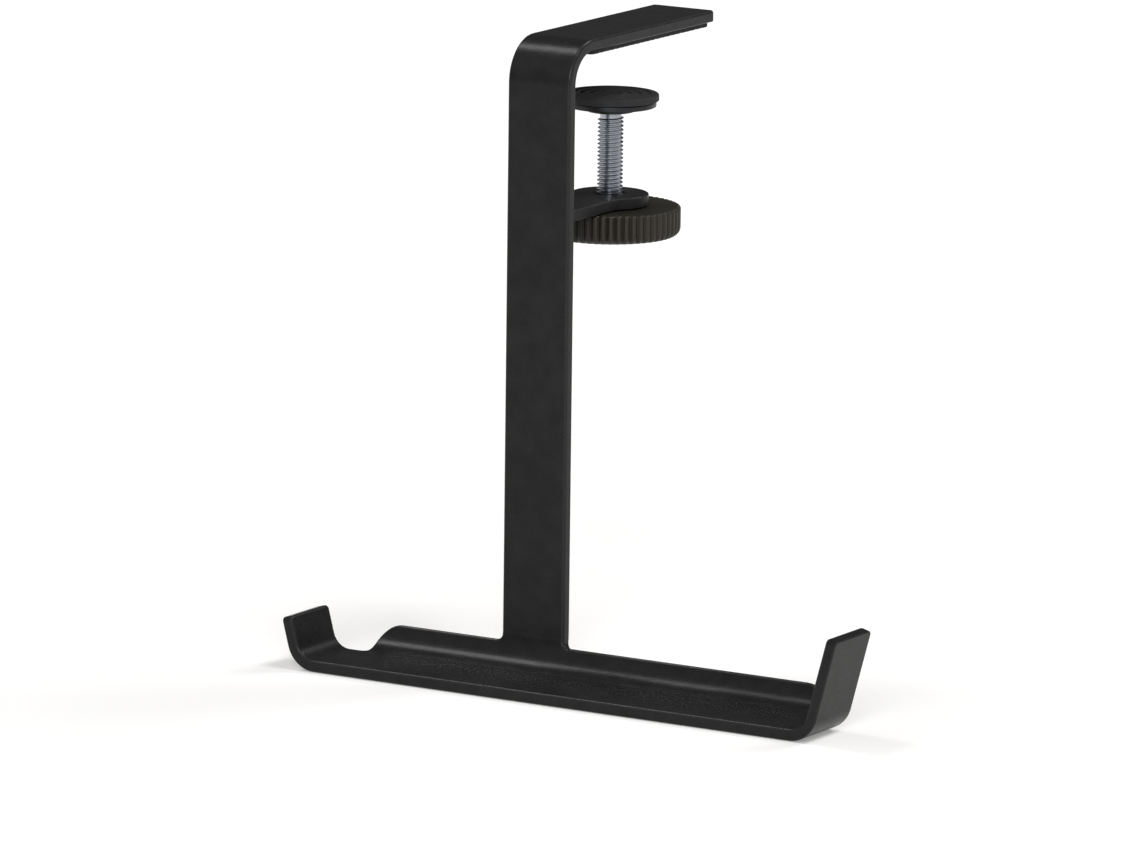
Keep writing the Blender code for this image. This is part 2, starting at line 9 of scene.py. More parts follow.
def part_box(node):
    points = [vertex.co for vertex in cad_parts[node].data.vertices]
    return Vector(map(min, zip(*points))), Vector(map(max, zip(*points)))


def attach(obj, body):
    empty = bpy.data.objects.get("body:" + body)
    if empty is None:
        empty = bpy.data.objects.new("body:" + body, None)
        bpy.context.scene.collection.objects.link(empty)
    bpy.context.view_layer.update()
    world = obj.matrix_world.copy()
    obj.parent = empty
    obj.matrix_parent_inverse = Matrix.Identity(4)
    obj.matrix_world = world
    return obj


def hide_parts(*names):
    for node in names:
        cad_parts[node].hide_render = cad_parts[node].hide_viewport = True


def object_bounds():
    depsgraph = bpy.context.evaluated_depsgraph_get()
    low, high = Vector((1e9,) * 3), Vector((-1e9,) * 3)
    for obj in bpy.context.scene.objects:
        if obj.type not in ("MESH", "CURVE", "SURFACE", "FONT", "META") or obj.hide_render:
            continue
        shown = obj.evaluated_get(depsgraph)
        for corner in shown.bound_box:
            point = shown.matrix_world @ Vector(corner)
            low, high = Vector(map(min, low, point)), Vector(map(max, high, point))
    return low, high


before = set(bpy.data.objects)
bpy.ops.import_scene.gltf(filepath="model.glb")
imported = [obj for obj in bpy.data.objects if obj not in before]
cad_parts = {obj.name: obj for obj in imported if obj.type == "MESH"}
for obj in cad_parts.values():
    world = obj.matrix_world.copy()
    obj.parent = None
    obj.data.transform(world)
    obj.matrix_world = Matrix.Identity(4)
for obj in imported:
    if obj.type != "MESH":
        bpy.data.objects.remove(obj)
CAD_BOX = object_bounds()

bl_info = {
    "name": "Clamp-on Bag Hook",
    "version": (1, 0, 0),
    "blender": (4, 5, 0),
    "location": "3D View > Sidebar > Bag Hook",
    "description": "Makes the finished pieces of a clamp-on bag hook around its packed CAD model",
    "category": "Object",
}

MM = 0.001
QUARTER = math.pi / 2.0
ORIGIN = (0.0, 0.0, 0.0)
UP = (0.0, 0.0, 1.0)

# Fineness of the finished meshes
BEND_CUTS = 30
CORNER_STEPS = 8
EDGE_STEPS = 5
TURN_STEPS = 96
THREAD_STEPS = 36
ARC_STEP = math.radians(5.0)
SHARP_ANGLE = math.radians(38.0)
WELD_DISTANCE = 0.0005 * MM
CUT_DISTANCE = WELD_DISTANCE / 5.0
CLOSE_DISTANCE = WELD_DISTANCE * 10.0

# ISO metric thread form, in shares of the pitch
THREAD_DEPTH_SHARE = 0.6134
FLANK_RUN_SHARE = 0.354
CREST_SHARE = 0.125


def linear(hex_colour):
    """Turn an sRGB hex colour into linear light."""
    shares = [int(hex_colour[i:i + 2], 16) / 255.0 for i in (0, 2, 4)]
    return tuple(s / 12.92 if s <= 0.04045 else ((s + 0.055) / 1.055) ** 2.4 for s in shares)


def length(name, description, default):
    """A length property in metres, given in millimetres."""
    return FloatProperty(name=name, description=description, default=default * MM, min=0.0,
                         unit='LENGTH', subtype='DISTANCE', precision=5)


def angular(name, description, default):
    """An angle property in radians, given in degrees."""
    return FloatProperty(name=name, description=description, default=math.radians(default),
                         unit='ROTATION', subtype='ANGLE')


def colour(name, description, hex_colour):
    """A colour property, given as sRGB hex."""
    return FloatVectorProperty(name=name, description=description, default=linear(hex_colour),
                               min=0.0, max=1.0, size=3, subtype='COLOR')


class HookSheetSettings(bpy.types.PropertyGroup):
    """Sizes and colour of the bent sheet."""
    strap_width: length("Strap width", "Width of the upright and the top jaw", 22.0)
    thickness: length("Thickness", "Thickness of the sheet with its coat", 3.6)
    setback: length("Setback", "From the clamp screw's axis to the sheet's front face", 42.5)
    top_bend: length("Top bend", "Inner radius of the bend over the desk's edge", 10.0)
    foot_bend: length("Foot bend", "Inner radius of the forward bend at the foot", 10.0)
    shelf_depth: length("Shelf depth", "Depth of the strap shelf in front of the foot bend", 22.0)
    right_reach: length("Right reach", "From the middle to the upturned end on the right", 115.0)
    left_reach: length("Left reach", "From the middle to the upturned end on the left", 65.0)
    lip_bend: length("Lip bend", "Inner radius of the bend at each upturned end", 6.0)
    right_lip: length("Right lip", "Height of the right upturned end above the shelf", 29.0)
    left_lip: length("Left lip", "Height of the left upturned end above the shelf", 13.0)
    lip_lean: angular("Lip lean", "How far the upturned ends lean outward", 15.0)
    rim_corner: length("Rim corner", "Round at the outer end of the shelf's rear rim", 7.0)
    relief: length("Relief", "Inner round between the rear rim and the upturned end", 1.5)
    fillet: length("Fillet", "Inner round between the upright and the rear rim", 1.6)
    corner: length("Corner", "Round at the sheet's outer corners", 1.4)
    face_round: length("Face round", "Round on the edges of the front and top face", 0.9)
    edge_round: length("Edge round", "Round on the other deburred and coated edges", 0.45)
    coat: colour("Coat", "Colour of the satin powder coat", "212121")


class HookJawSettings(bpy.types.PropertyGroup):
    """Sizes of the welded lower jaw and its nut."""
    width: length("Jaw width", "Width of the lower jaw's strip", 16.0)
    thickness: length("Jaw thickness", "Thickness of the lower jaw", 3.5)
    leg: length("Leg", "Height of the leg on the upright's back", 24.0)
    bend: length("Jaw bend", "Inner radius of the lower jaw's bend", 3.0)
    eye: length("Eye", "Diameter of the round eye", 24.0)
    neck: length("Neck", "Inner round where the strip meets the eye", 6.0)
    bore: length("Bore", "Diameter of the hole for the screw", 9.2)
    ripple: length("Weld ripple", "Spacing of the weld bead's ripples", 1.3)
    nut_across: length("Nut across flats", "Width of the weld nut across its flats", 13.0)
    nut_chamfer: length("Nut chamfer", "Height of the chamfer on the nut's corners", 0.7)


class HookScrewSettings(bpy.types.PropertyGroup):
    """Sizes and colours of the clamp screw, its knob and its swivel plate."""
    diameter: length("Screw diameter", "Outer diameter of the thread", 8.0)
    pitch: length("Thread pitch", "Rise of the thread in one turn", 1.25)
    head_across: length("Head across flats", "Width of the hexagon head", 13.0)
    knob: length("Knob diameter", "Outer diameter of the knob over its ribs", 43.8)
    ribs: IntProperty(name="Ribs", description="Number of grip ribs on the knob", default=56, min=8)
    rib_depth: length("Rib depth", "Depth of the grooves between the ribs", 0.75)
    boss: length("Boss", "Diameter of the knob's lower boss", 20.0)
    recess: length("Recess", "Diameter of the hollow that takes the nut", 20.0)
    plate: length("Plate diameter", "Diameter of the swivel plate", 28.0)
    hub: length("Plate hub", "Diameter of the swivel plate's hub", 15.0)
    moulding: colour("Moulding", "Colour of the knob's nylon", "1E1B16")
    zinc: colour("Zinc", "Colour of the plated screw and nut", "B4B8BC")
    oxide: colour("Black oxide", "Colour of the swivel plate", "3A3B3D")


class HookPadSettings(bpy.types.PropertyGroup):
    """Sizes and colour of the rubber pads."""
    corner: length("Pad corner", "Round at the pads' corners", 2.0)
    groove: length("Groove spacing", "Spacing of the pads' grip grooves", 3.0)
    groove_depth: length("Groove depth", "Depth of the pads' grip grooves", 0.45)
    edge_round: length("Pad edge round", "Round on the pads' edges", 0.35)
    rubber: colour("Rubber", "Colour of the rubber", "1D1D1E")


class HookStudioSettings(bpy.types.PropertyGroup):
    """Floor, lights and camera."""
    floor: colour("Floor", "Colour of the pale paper floor", "F2F1EF")
    azimuth: angular("Azimuth", "Camera's turn to the right of the front", 31.193)
    elevation: angular("Elevation", "Camera's height above the horizon", 11.019)
    roll: angular("Roll", "Camera's tilt about its own axis", 0.688)
    distance: length("Distance", "From the camera to the point that it aims at", 3042.2)
    lens: FloatProperty(name="Lens", description="Focal length on a 36 mm sensor", default=313.08,
                        min=1.0)


def heights_of(node_name):
    """Lowest and highest point of a CAD node along Z."""
    return [corner.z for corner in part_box(node_name)]


# Modelling helpers

def outline(corners):
    """A flat face through the corners, each given as x and y, and its round if it has one."""
    mesh = bmesh.new()
    tips = [bmesh.ops.create_vert(mesh, co=(x, y, 0.0))["vert"][0] for x, y, *_ in corners]
    mesh.faces.new(tips)
    for tip, (_, _, *rounds) in zip(tips, corners):
        if any(rounds):
            bmesh.ops.bevel(mesh, geom=[tip], offset=rounds[0], segments=CORNER_STEPS, profile=0.5,
                            affect='VERTICES', clamp_overlap=True, material=-1)
    return mesh


def drawn(start, moves):
    """A flat face drawn from a start by moves of x, y and swing: a line there, or an arc about there."""
    mesh = bmesh.new()
    tip = bmesh.ops.create_vert(mesh, co=(*start, 0.0))["vert"][0]
    for x, y, swing in moves:
        if swing == 0.0:
            tip = bmesh.ops.extrude_vert_indiv(mesh, verts=[tip])["verts"][0]
            tip.co = (x, y, 0.0)
        else:
            steps = max(1, round(abs(swing) / ARC_STEP))
            made = bmesh.ops.spin(mesh, geom=[tip], cent=(x, y, 0.0), axis=UP, angle=swing,
                                  steps=steps)
            tip = [g for g in made["geom_last"] if isinstance(g, bmesh.types.BMVert)][0]
    bmesh.ops.remove_doubles(mesh, verts=mesh.verts, dist=CLOSE_DISTANCE)
    bmesh.ops.contextual_create(mesh, geom=list(mesh.edges))
    return mesh


def thicken(mesh, thickness, low_round, high_round):
    """Give a flat outline its thickness upward and round its lower and upper rim."""
    made = bmesh.ops.extrude_face_region(mesh, geom=list(mesh.faces))
    lifted = [v for v in made["geom"] if isinstance(v, bmesh.types.BMVert)]
    bmesh.ops.translate(mesh, verts=lifted, vec=(0.0, 0.0, thickness))
    bmesh.ops.recalc_face_normals(mesh, faces=mesh.faces)
    for level, rounding in ((0.0, low_round), (thickness, high_round)):
        rims = [e for e in mesh.edges if all(abs(v.co.z - level) < WELD_DISTANCE for v in e.verts)]
        soften(mesh, rims, rounding)
    return mesh


def soften(mesh, edges, rounding):
    """Round the edges and mark the middle of each round in the rim attribute, where the coat and the nylon
    paint a highlight.
    """
    layer = mesh.verts.layers.float.get("rim") or mesh.verts.layers.float.new("rim")
    made = bmesh.ops.bevel(mesh, geom=edges, offset=rounding, segments=EDGE_STEPS, profile=0.5,
                           affect='EDGES', clamp_overlap=True, material=-1)
    new = set(made["faces"])
    for vert in made["verts"]:
        if vert.is_valid and all(face in new for face in vert.link_faces):
            vert[layer] = 1.0


def divide(mesh, point, normal, clear_outer=False):
    """Cut the whole mesh along one plane, clear what lies beyond it if asked, and return the cut."""
    geom = mesh.verts[:] + mesh.edges[:] + mesh.faces[:]
    return bmesh.ops.bisect_plane(mesh, geom=geom, dist=CUT_DISTANCE, plane_co=point,
                                  plane_no=normal, clear_outer=clear_outer)["geom_cut"]


def trim(mesh, point, normal):
    """Cut away what lies beyond the plane and close the cut."""
    cut = divide(mesh, point, normal, clear_outer=True)
    loose = [e for e in cut if isinstance(e, bmesh.types.BMEdge)]
    bmesh.ops.holes_fill(mesh, edges=loose, sides=0)


def follow(legs, start, heading, side, along):
    """Place and depth direction at a length along legs of (length, turn). A leg with a turn is a bend."""
    place = Vector(start)
    angle = heading
    left = along
    for number, (run, turn) in enumerate(legs):
        step = left if number == len(legs) - 1 else min(left, run)
        if turn == 0.0:
            place = place + step * Vector((math.cos(angle), math.sin(angle)))
        else:
            radius = run / turn
            centre = place + radius * Vector((-math.sin(angle), math.cos(angle)))
            swing = Matrix.Rotation(step / radius, 2)
            place = centre + swing @ (place - centre)
            angle += step / radius
        left -= step
        if left <= 0.0:
            break
    return place, side * Vector((-math.sin(angle), math.cos(angle)))


def fold(mesh, legs, start, heading, side):
    """Fold a flat blank in X and Y, depth in Z, onto the legs in the YZ plane."""
    run = 0.0
    for span, turn in legs:
        if turn != 0.0:
            for i in range(BEND_CUTS + 1):
                divide(mesh, (0.0, run + span * i / BEND_CUTS, 0.0), (0.0, 1.0, 0.0))
        run += span
    for vert in mesh.verts:
        place, depth = follow(legs, start, heading, side, vert.co.y)
        spot = place + depth * vert.co.z
        vert.co = (vert.co.x, spot.x, spot.y)


def stand_up(mesh):
    """Turn a mesh a quarter about X, so that its Y points up."""
    bmesh.ops.rotate(mesh, verts=mesh.verts, cent=ORIGIN, matrix=Matrix.Rotation(QUARTER, 3, 'X'))


def turned(corners, steps, closed=False):
    """Spin an outline of (radius, height, round) about Z. An open one starts and ends on the axis."""
    mesh = outline(corners)
    bmesh.ops.delete(mesh, geom=list(mesh.faces), context='FACES_ONLY')
    if not closed:
        axis = [e for e in mesh.edges if max(abs(v.co.x) for v in e.verts) < WELD_DISTANCE]
        bmesh.ops.delete(mesh, geom=axis, context='EDGES')
    stand_up(mesh)
    bmesh.ops.spin(mesh, geom=mesh.verts[:] + mesh.edges[:], cent=ORIGIN, axis=UP,
                   angle=2.0 * math.pi, steps=steps, use_merge=True)
    bmesh.ops.remove_doubles(mesh, verts=mesh.verts, dist=WELD_DISTANCE)
    bmesh.ops.recalc_face_normals(mesh, faces=mesh.faces)
    return mesh


def hexagon(across, low, high):
    """A six-sided bar about Z."""
    mesh = bmesh.new()
    reach = across / math.sqrt(3.0)
    bmesh.ops.create_cone(mesh, cap_ends=True, segments=6, radius1=reach, radius2=reach,
                          depth=high - low)
    bmesh.ops.translate(mesh, verts=mesh.verts, vec=(0.0, 0.0, (low + high) / 2.0))
    return mesh


def thread(diameter, pitch, low, high):
    """A threaded rod about Z: one tooth spun up a helix, then cut off square."""
    crest = diameter / 2.0
    root = crest - THREAD_DEPTH_SHARE * pitch
    flank = FLANK_RUN_SHARE * pitch
    land = CREST_SHARE * pitch
    tooth = [(root, 0.0), (crest, flank), (crest, flank + land), (root, 2.0 * flank + land),
             (root, pitch)]
    turns = math.ceil((high - low) / pitch) + 2
    mesh = bmesh.new()
    tips = [bmesh.ops.create_vert(mesh, co=(x, 0.0, low - pitch + z))["vert"][0] for x, z in tooth]
    for near, far in zip(tips, tips[1:]):
        mesh.edges.new((near, far))
    bmesh.ops.spin(mesh, geom=mesh.verts[:] + mesh.edges[:], cent=ORIGIN, axis=UP,
                   dvec=(0.0, 0.0, pitch / THREAD_STEPS), angle=2.0 * math.pi * turns,
                   steps=THREAD_STEPS * turns)
    bmesh.ops.remove_doubles(mesh, verts=mesh.verts, dist=WELD_DISTANCE)
    trim(mesh, (0.0, 0.0, high), UP)
    trim(mesh, (0.0, 0.0, low), (0.0, 0.0, -1.0))
    bmesh.ops.recalc_face_normals(mesh, faces=mesh.faces)
    return mesh


def loose_object(mesh, name):
    """Put a bmesh into a new object."""
    data = bpy.data.meshes.new(name)
    mesh.to_mesh(data)
    mesh.free()
    item = bpy.data.objects.new(name, data)
    bpy.context.scene.collection.objects.link(item)
    return item


def apply_modifiers(item):
    """Keep an object's mesh as its modifiers leave it."""
    graph = bpy.context.evaluated_depsgraph_get()
    data = bpy.data.meshes.new_from_object(item.evaluated_get(graph))
    item.modifiers.clear()
    old = item.data
    item.data = data
    bpy.data.meshes.remove(old)


def carve(item, tool, operation):
    """Apply one exact boolean with a helper mesh."""
    helper = loose_object(tool, item.name + "_helper")
    step = item.modifiers.new(operation.title(), 'BOOLEAN')
    step.operation = operation
    step.solver = 'EXACT'
    step.object = helper
    apply_modifiers(item)
    bpy.data.objects.remove(helper, do_unlink=True)


def chamfered_hexagon(name, across, low, high, inset, reach, rise):
    """An object of a six-sided bar, with its lower corners coned off."""
    item = loose_object(hexagon(across, low, high), name)
    flat = across / 2.0 - inset
    corner = across / math.sqrt(3.0) + reach
    top = high + across
    carve(item, turned([(0.0, low), (flat, low), (corner, low + rise), (corner, top), (0.0, top)],
                       TURN_STEPS), 'INTERSECT')
    return item


def finish_piece(item, finish, slot, body, *nodes):
    """Shade a piece, give it its material, hang it on its body, and hide the CAD nodes that it stands for.
    """
    mesh = bmesh.new()
    mesh.from_mesh(item.data)
    bmesh.ops.remove_doubles(mesh, verts=mesh.verts, dist=WELD_DISTANCE)
    many = [f for f in mesh.faces if len(f.verts) > 4]
    bmesh.ops.triangulate(mesh, faces=many, quad_method='BEAUTY', ngon_method='BEAUTY')
    for face in mesh.faces:
        face.smooth = True
    for edge in mesh.edges:
        edge.smooth = edge.is_manifold and edge.calc_face_angle(0.0) < SHARP_ANGLE
    mesh.to_mesh(item.data)
    mesh.free()
    item.data.materials.clear()
    item.data.materials.append(finish)
    level = item.modifiers.new("Flat faces first", 'WEIGHTED_NORMAL')
    level.keep_sharp = True
    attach(item, body)
    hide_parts(*nodes)


# Materials

# A noise texture's values lie mostly between these two
NOISE_RANGE = {"From Min": 0.3, "From Max": 0.7}

# Bands that a wave texture of scale 1 makes in one unit
WAVE_BANDS = 20.0 / (2.0 * math.pi)

# Places of the colour sockets on a Mix node, whose names repeat
MIX_FACTOR = 0
MIX_A = 6
MIX_B = 7
MIX_RESULT = 2

# Share by which zinc's haze darkens red, green and blue
HAZE_SHARES = (0.86, 0.88, 0.94)

# How white the paper looks in the camera and in reflections
PAPER_LIFT = 0.25
WHITE = (1.0, 1.0, 1.0, 1.0)


def repeats(size):
    """Texture scale at which one feature is the given number of millimetres."""
    return 1.0 / (size * MM)


def tinted(rgb, *shares):
    """An opaque colour made darker or lighter, by one share or by one for each channel."""
    each = shares if len(shares) == 3 else shares * 3
    return (*(min(1.0, channel * share) for channel, share in zip(rgb[:3], each)), 1.0)


def fill(tree, item, inputs):
    """Set a node's inputs to values, or link them to the outputs given."""
    for key, value in inputs.items():
        if isinstance(value, bpy.types.NodeSocket):
            tree.links.new(value, item.inputs[key])
        else:
            item.inputs[key].default_value = value


def node(tree, kind, inputs=None, **settings):
    """Add one shader node with its settings, and fill its inputs."""
    item = tree.nodes.new(kind)
    for key, value in settings.items():
        setattr(item, key, value)
    fill(tree, item, inputs or {})
    return item


def blank_material(name, *patterns):
    """A material, its tree, shader and Object coordinates, and a noise for each size, detail and bend."""
    shade = bpy.data.materials.new(name)
    shade.use_nodes = True
    tree = shade.node_tree
    place = node(tree, "ShaderNodeTexCoord").outputs["Object"]
    noises = [node(tree, "ShaderNodeTexNoise", {"Vector": place, "Scale": repeats(size),
                                                "Detail": detail, "Distortion": bend}).outputs["Fac"]
              for size, detail, bend in patterns]
    return shade, tree, tree.nodes["Principled BSDF"], place, *noises


def mottled(tree, pattern, dark, light, smooth, rough):
    """A tint between two colours and a roughness between two values, both by one pattern."""
    tint = node(tree, "ShaderNodeMix", {MIX_FACTOR: pattern, MIX_A: dark, MIX_B: light},
                data_type='RGBA')
    gloss = node(tree, "ShaderNodeMapRange", {"Value": pattern, **NOISE_RANGE, "To Min": smooth,
                                              "To Max": rough})
    return tint.outputs[MIX_RESULT], gloss.outputs["Result"]


def powder_coat(name, rgb, roughness):
    """Satin black polyester powder coat: a faint mottle and orange peel, and smoother edges with a painted
    highlight.
    """
    # The powder's grain is about 0.2 mm and is drawn at 0.55 mm, so that it shows in the camera's view
    shade, tree, shader, _, peel, cloud, grain = blank_material(
        name, (1.6, 2.0, 0.0), (5.0, 4.0, 0.0), (0.55, 1.0, 0.0))
    rim = node(tree, "ShaderNodeAttribute", attribute_name="rim").outputs["Fac"]
    mottle = node(tree, "ShaderNodeMapRange", {"Value": cloud, **NOISE_RANGE})
    body = node(tree, "ShaderNodeMix", {MIX_FACTOR: mottle.outputs["Result"], MIX_A: tinted(rgb, 0.8),
                                        MIX_B: tinted(rgb, 1.2)}, data_type='RGBA')
    # The rounded edges are painted lighter: a painted highlight along each edge, standing in for light on
    # its round
    edge = node(tree, "ShaderNodeMix", {MIX_FACTOR: rim, MIX_A: body.outputs[MIX_RESULT],
                                        MIX_B: tinted(rgb, 1.7)}, data_type='RGBA')
    gloss = node(tree, "ShaderNodeMapRange", {"Value": grain, **NOISE_RANGE,
                                              "To Min": roughness - 0.03, "To Max": roughness + 0.04})
    ease = node(tree, "ShaderNodeMath", {0: rim, 1: -0.06, 2: gloss.outputs["Result"]},
                operation='MULTIPLY_ADD')
    fine = node(tree, "ShaderNodeBump", {"Height": grain, "Strength": 0.25, "Distance": 0.014 * MM})
    relief = node(tree, "ShaderNodeBump", {"Height": peel, "Strength": 0.5, "Distance": 0.02 * MM,
                                           "Normal": fine.outputs["Normal"]})
    fill(tree, shader, {"Base Color": edge.outputs[MIX_RESULT], "Roughness": ease.outputs["Value"],
                        "Normal": relief.outputs["Normal"], "Specular IOR Level": 0.14})
    return shade


def moulded_nylon(name, rgb):
    """Glass-filled nylon from a spark-eroded mould: warm black, with a soft grain, faint flow marks and
    painted highlights.
    """
    # The mould's grain is about 0.15 mm and is drawn at 0.5 mm, so that it shows in the camera's view
    shade, tree, shader, _, grain, flow = blank_material(name, (0.5, 3.0, 0.0), (7.0, 2.0, 1.2))
    crest = node(tree, "ShaderNodeAttribute", attribute_name="rim").outputs["Fac"]
    body, gloss = mottled(tree, flow, tinted(rgb, 0.8), tinted(rgb, 1.2), 0.42, 0.54)
    # The rib crests and the plug's rounded edge are painted lighter: a painted highlight against the
    # darker grooves
    painted_crest_highlight = node(tree, "ShaderNodeMix", {MIX_FACTOR: crest, MIX_A: body, MIX_B: tinted(rgb, 2.3)},
                data_type='RGBA')
    relief = node(tree, "ShaderNodeBump", {"Height": grain, "Strength": 0.35, "Distance": 0.035 * MM})
    fill(tree, shader, {"Base Color": painted_crest_highlight.outputs[MIX_RESULT], "Roughness": gloss,
                        "Normal": relief.outputs["Normal"], "Specular IOR Level": 0.3})
    return shade


def zinc_plate(name, rgb):
    """Bright zinc over rolled steel: a cool metal with cloudy passivation and fine turning marks."""
    # Turning marks are about 0.1 mm apart and are drawn 0.5 mm apart, so that they show
    shade, tree, shader, place, cloud = blank_material(name, (5.0, 4.0, 0.0))
    marks = node(tree, "ShaderNodeTexWave", {"Vector": place, "Scale": repeats(0.5) / WAVE_BANDS,
                                             "Distortion": 2.0, "Detail": 2.0, "Detail Scale": 1.5},
                 wave_type='BANDS', bands_direction='Z')
    tint, gloss = mottled(tree, cloud, tinted(rgb, *HAZE_SHARES), tinted(rgb, 1.0), 0.24, 0.4)
    relief = node(tree, "ShaderNodeBump", {"Height": marks.outputs["Fac"], "Strength": 0.3,
                                           "Distance": 0.01 * MM})
    fill(tree, shader, {"Base Color": tint, "Roughness": gloss, "Normal": relief.outputs["Normal"],
                        "Metallic": 1.0})
    return shade


def black_oxide(name, rgb):
    """Black-oxided steel: dark metal with an oily mottle."""
    shade, tree, shader, _, stain, scuff = blank_material(name, (3.5, 4.0, 0.0), (0.5, 2.0, 0.0))
    tint, gloss = mottled(tree, stain, tinted(rgb, 0.75), tinted(rgb, 1.2), 0.34, 0.5)
    relief = node(tree, "ShaderNodeBump", {"Height": scuff, "Strength": 0.3, "Distance": 0.01 * MM})
    fill(tree, shader, {"Base Color": tint, "Roughness": gloss, "Normal": relief.outputs["Normal"],
                        "Metallic": 1.0})
    return shade


def moulded_rubber(name, rgb):
    """Nitrile rubber: matt charcoal with a fine pebbled skin and a trace of grey bloom."""
    # The skin's pebbles are about 0.2 mm and are drawn at 0.6 mm, so that they show
    shade, tree, shader, place, bloom = blank_material(name, (4.0, 5.0, 0.0))
    skin = node(tree, "ShaderNodeTexVoronoi", {"Vector": place, "Scale": repeats(0.6)})
    tint, gloss = mottled(tree, bloom, tinted(rgb, 0.85), tinted(rgb, 1.45), 0.7, 0.88)
    relief = node(tree, "ShaderNodeBump", {"Height": skin.outputs["Distance"], "Strength": 0.4,
                                           "Distance": 0.04 * MM}, invert=True)
    fill(tree, shader, {"Base Color": tint, "Roughness": gloss, "Normal": relief.outputs["Normal"]})
    return shade


def studio_paper(name, rgb):
    """Seamless paper: pale and matt. The camera and reflections see it near white, under its shadow."""
    shade, tree, shader, _, tooth = blank_material(name, (2.0, 3.0, 0.0))
    tint = node(tree, "ShaderNodeMix", {MIX_FACTOR: tooth, MIX_A: tinted(rgb, 0.985),
                                        MIX_B: tinted(rgb, 1.0)}, data_type='RGBA')
    path = node(tree, "ShaderNodeLightPath").outputs
    seen = node(tree, "ShaderNodeMath", {0: path["Is Camera Ray"], 1: path["Is Glossy Ray"]},
                operation='ADD')
    seen = node(tree, "ShaderNodeMath", {0: seen.outputs["Value"], 1: path["Is Transmission Ray"]},
                operation='ADD')
    lift = node(tree, "ShaderNodeMath", {0: seen.outputs["Value"], 1: PAPER_LIFT}, operation='MULTIPLY')
    fill(tree, shader, {"Base Color": tint.outputs[MIX_RESULT], "Roughness": 0.9,
                        "Specular IOR Level": 0.0, "Emission Color": WHITE,
                        "Emission Strength": lift.outputs["Value"]})
    return shade


# Pieces

# Share of the foot bend's length at which the rear rims begin
RIM_START_SHARE = 0.19

# Neighbouring pieces of one finish are told apart by a slightly darker or lighter tint
WELD_TINT_SHARE = 0.9
PLUG_TINT_SHARE = 0.9
EDGE_PAD_TINT_SHARE = 1.05

# Share of the relief by which a lip's rear edge lies in front of the foot bend
LIP_STEP_SHARE = 1.0 / 3.0

# The coat lies smoothest on the sheet's open faces, and roughest over the welds
SHEET_ROUGHNESS = 0.29
JAW_ROUGHNESS = 0.38
WELD_ROUGHNESS = 0.42


class HOOK_OT_bent_sheet(bpy.types.Operator):
    """Fold the one-piece black sheet: top jaw, upright, shelf, rear rims and upturned ends"""
    bl_idname = "bag_hook.bent_sheet"
    bl_label = "Bent Sheet"

    def half_blank(self, sheet, reach, lip, rows):
        """Corners of one side of the flat blank: half the strap, then an arm that narrows to its lip."""
        rim, rear, front = rows
        half = sheet.strap_width / 2.0
        rim_end = reach - sheet.lip_bend - sheet.thickness - sheet.relief
        turn = QUARTER - sheet.lip_lean
        rise = sheet.lip_bend * (1.0 - math.sin(sheet.lip_lean))
        straight = (lip - rise) / math.cos(sheet.lip_lean)
        tip = reach - sheet.lip_bend + turn * sheet.lip_bend + straight
        return [(half, 0.0, sheet.corner), (half, rim, sheet.fillet), (rim_end, rim, sheet.rim_corner),
                (rim_end, rear, sheet.relief), (tip, rear, sheet.corner), (tip, front, sheet.corner)]

    def divide_lip(self, mesh, sheet, side, reach):
        """Divide one arm finely where its end is to be bent up."""
        run = (QUARTER - sheet.lip_lean) * sheet.lip_bend
        for i in range(BEND_CUTS + 1):
            station = reach - sheet.lip_bend + run * i / BEND_CUTS
            divide(mesh, (side * station, 0.0, 0.0), (1.0, 0.0, 0.0))

    def lift_lip(self, mesh, sheet, side, reach, shelf_z):
        """Bend the end of one arm up and outward."""
        begin = reach - sheet.lip_bend
        turn = QUARTER - sheet.lip_lean
        legs = [(begin, 0.0), (turn * sheet.lip_bend, turn), (reach, 0.0)]
        for vert in mesh.verts:
            along = side * vert.co.x
            if along > begin:
                place, down = follow(legs, (0.0, shelf_z), 0.0, -1.0, along)
                spot = place + down * (shelf_z - vert.co.z)
                vert.co = (side * spot.x, vert.co.y, spot.y)

    def execute(self, context):
        sheet = context.scene.hook_sheet
        low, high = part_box("hanger_sheet")
        shelf_z = low.z + sheet.thickness
        outer = sheet.top_bend + sheet.thickness
        upright = high.z - outer - shelf_z - sheet.foot_bend
        jaw = high.y + sheet.setback - outer
        legs = [(jaw, 0.0), (outer * QUARTER, QUARTER), (upright, 0.0),
                (sheet.foot_bend * QUARTER, -QUARTER), (sheet.shelf_depth, 0.0)]
        foot = jaw + legs[1][0] + upright
        shelf = foot + legs[3][0]
        rows = (foot + RIM_START_SHARE * legs[3][0], shelf + LIP_STEP_SHARE * sheet.relief,
                shelf + sheet.shelf_depth)
        right = self.half_blank(sheet, sheet.right_reach, sheet.right_lip, rows)
        left = self.half_blank(sheet, sheet.left_reach, sheet.left_lip, rows)
        left = [(-x, y, radius) for x, y, radius in reversed(left)]
        mesh = thicken(outline(right + left), sheet.thickness, sheet.face_round, sheet.edge_round)
        self.divide_lip(mesh, sheet, 1.0, sheet.right_reach)
        self.divide_lip(mesh, sheet, -1.0, sheet.left_reach)
        fold(mesh, legs, (high.y, high.z), math.pi, 1.0)
        self.lift_lip(mesh, sheet, 1.0, sheet.right_reach, shelf_z)
        self.lift_lip(mesh, sheet, -1.0, sheet.left_reach, shelf_z)
        item = loose_object(mesh, "sheet_hanger")
        coat = powder_coat("satin_black_powder_coat", sheet.coat, SHEET_ROUGHNESS)
        finish_piece(item, coat, "powder_coat", "hanger", "hanger_sheet")
        return {'FINISHED'}


